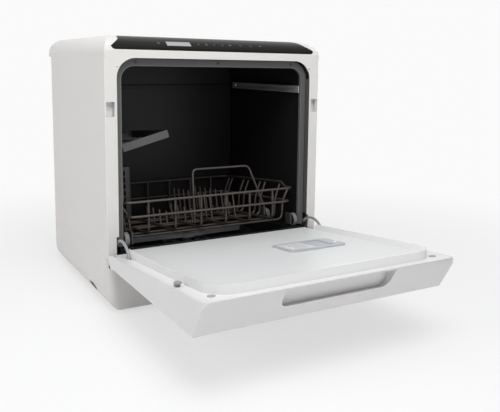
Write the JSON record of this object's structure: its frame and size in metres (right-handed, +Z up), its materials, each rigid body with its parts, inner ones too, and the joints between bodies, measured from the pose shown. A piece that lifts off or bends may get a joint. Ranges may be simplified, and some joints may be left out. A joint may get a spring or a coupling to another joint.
{
  "type": "countertop dishwasher",
  "caption": "Compact countertop dishwasher with a drop-down door, a wheeled wire rack with a folding cup shelf, a cutlery basket and a curved black control strip.",
  "frame": {"origin": "on the floor under the centre of the whole object's box at rest", "axes": "+X to the machine's right seen from the front, +Y to its back, +Z up"},
  "size_m": [0.41, 0.7482, 0.46],
  "materials": {
    "housing": "satin",
    "feet_rubber": "matte",
    "control_gloss": "gloss",
    "display": "gloss",
    "rear_sheet": "satin",
    "connector_plastic": "satin",
    "dark_plastic": "matte",
    "tub_plastic": "satin",
    "seal_rubber": "matte",
    "trim": "satin",
    "screw_steel": "satin",
    "rail_plastic": "satin",
    "steel": "brushed",
    "grey_plastic": "satin",
    "tank_plastic": "satin",
    "board": "matte",
    "liner_plastic": "satin",
    "tray_panel": "satin",
    "dispenser_plastic": "satin",
    "wire_coating": "satin",
    "wheel_rubber": "matte",
    "basket_plastic": "satin"
  },
  "bodies": {
    "cabinet": {"base_tray": "housing", "feet": "feet_rubber", "left_side_panel": "housing", "right_side_panel": "housing", "top_cover": "housing", "control_panel": "control_gloss", "display_window": "display", "rear_panel": "rear_sheet", "inlet_valve": "connector_plastic", "drain_connector": "dark_plastic", "cord_inlet": "dark_plastic", "tub": "tub_plastic", "door_seal": "seal_rubber", "seal_retainer": "trim", "seal_screws": "screw_steel", "left_rail": "rail_plastic", "right_rail": "rail_plastic", "sump": "dark_plastic", "filter_plate": "steel", "filter_cylinder": "grey_plastic", "spray_hub": "dark_plastic", "wash_pump": "grey_plastic", "drain_pump": "grey_plastic", "heater": "steel", "water_tank": "tank_plastic", "control_board": "board", "door_catches": "dark_plastic", "hinge_brackets": "steel", "hinge_pins": "screw_steel"},
    "door": {"door_outer": "housing", "door_liner": "liner_plastic", "door_tray": "tray_panel", "latch_hooks": "steel", "door_plugs": "liner_plastic", "hinge_arms": "steel", "dispenser_body": "dispenser_plastic"},
    "rack": {"rack_frame": "wire_coating", "rack_cross_wires": "wire_coating", "rack_long_wires": "wire_coating", "rack_tines": "wire_coating", "rack_hoop": "wire_coating", "shelf_supports": "wire_coating", "shelf_clips": "rail_plastic", "wheel_axles": "dark_plastic", "cutlery_basket": "basket_plastic"},
    "shelf": {"cup_shelf": "rail_plastic"},
    "spray_arm_body": {"spray_arm": "grey_plastic"},
    "lid": {"dispenser_lid": "liner_plastic"},
    "button": {"dispenser_button": "liner_plastic"},
    "front_left_wheel_body": {"front_left_wheel": "wheel_rubber"},
    "front_right_wheel_body": {"front_right_wheel": "wheel_rubber"},
    "middle_left_wheel_body": {"middle_left_wheel": "wheel_rubber"},
    "middle_right_wheel_body": {"middle_right_wheel": "wheel_rubber"},
    "rear_left_wheel_body": {"rear_left_wheel": "wheel_rubber"},
    "rear_right_wheel_body": {"rear_right_wheel": "wheel_rubber"}
  },
  "joints": [
    {"name": "door_hinge", "type": "hinge", "parent": "cabinet", "child": "door", "pos_m": [0, -0.02786, 0.08949], "axis": [-1, 0, 0], "range_deg": [0, 84.4]},
    {"name": "rack_slide", "type": "slide", "parent": "cabinet", "child": "rack", "axis": [0, 0.9952, -0.0976], "range_m": [-0.316, 0]},
    {"name": "cup_shelf_fold", "type": "hinge", "parent": "rack", "child": "shelf", "pos_m": [-0.157, 0.17012, 0.25898], "axis": [0, -0.9952, 0.0976], "range_deg": [0, 60]},
    {"name": "spray_arm_spin", "type": "hinge", "parent": "cabinet", "child": "spray_arm_body", "pos_m": [0, 0.14013, 0.0785], "axis": [0, 0, 1], "continuous": true},
    {"name": "dispenser_lid_slide", "type": "slide", "parent": "door", "child": "lid", "axis": [1, 0, 0], "range_m": [0, 0.034]},
    {"name": "dispenser_button_press", "type": "slide", "parent": "door", "child": "button", "axis": [0, -0.0976, -0.9952], "range_m": [0, 0.002], "stiffness_N_per_m": 200},
    {"name": "front_left_wheel_roll", "type": "hinge", "parent": "rack", "child": "front_left_wheel_body", "pos_m": [-0.167, 0.01182, 0.12016], "axis": [-1, 0, 0], "range_deg": [-1460, 10]},
    {"name": "front_right_wheel_roll", "type": "hinge", "parent": "rack", "child": "front_right_wheel_body", "pos_m": [0.167, 0.01182, 0.12016], "axis": [-1, 0, 0], "range_deg": [-1460, 10]},
    {"name": "middle_left_wheel_roll", "type": "hinge", "parent": "rack", "child": "middle_left_wheel_body", "pos_m": [-0.167, 0.11339, 0.11021], "axis": [-1, 0, 0], "range_deg": [-1460, 10]},
    {"name": "middle_right_wheel_roll", "type": "hinge", "parent": "rack", "child": "middle_right_wheel_body", "pos_m": [0.167, 0.11339, 0.11021], "axis": [-1, 0, 0], "range_deg": [-1460, 10]},
    {"name": "rear_left_wheel_roll", "type": "hinge", "parent": "rack", "child": "rear_left_wheel_body", "pos_m": [-0.167, 0.28451, 0.09343], "axis": [-1, 0, 0], "range_deg": [-1460, 10]},
    {"name": "rear_right_wheel_roll", "type": "hinge", "parent": "rack", "child": "rear_right_wheel_body", "pos_m": [0.167, 0.28451, 0.09343], "axis": [-1, 0, 0], "range_deg": [-1460, 10]}
  ],
  "couplings": [
    {"joint": "front_left_wheel_roll", "follows": "rack_slide", "rad_per_m": 80},
    {"joint": "front_right_wheel_roll", "follows": "rack_slide", "rad_per_m": 80},
    {"joint": "middle_left_wheel_roll", "follows": "rack_slide", "rad_per_m": 80},
    {"joint": "middle_right_wheel_roll", "follows": "rack_slide", "rad_per_m": 80},
    {"joint": "rear_left_wheel_roll", "follows": "rack_slide", "rad_per_m": 80},
    {"joint": "rear_right_wheel_roll", "follows": "rack_slide", "rad_per_m": 80}
  ]
}
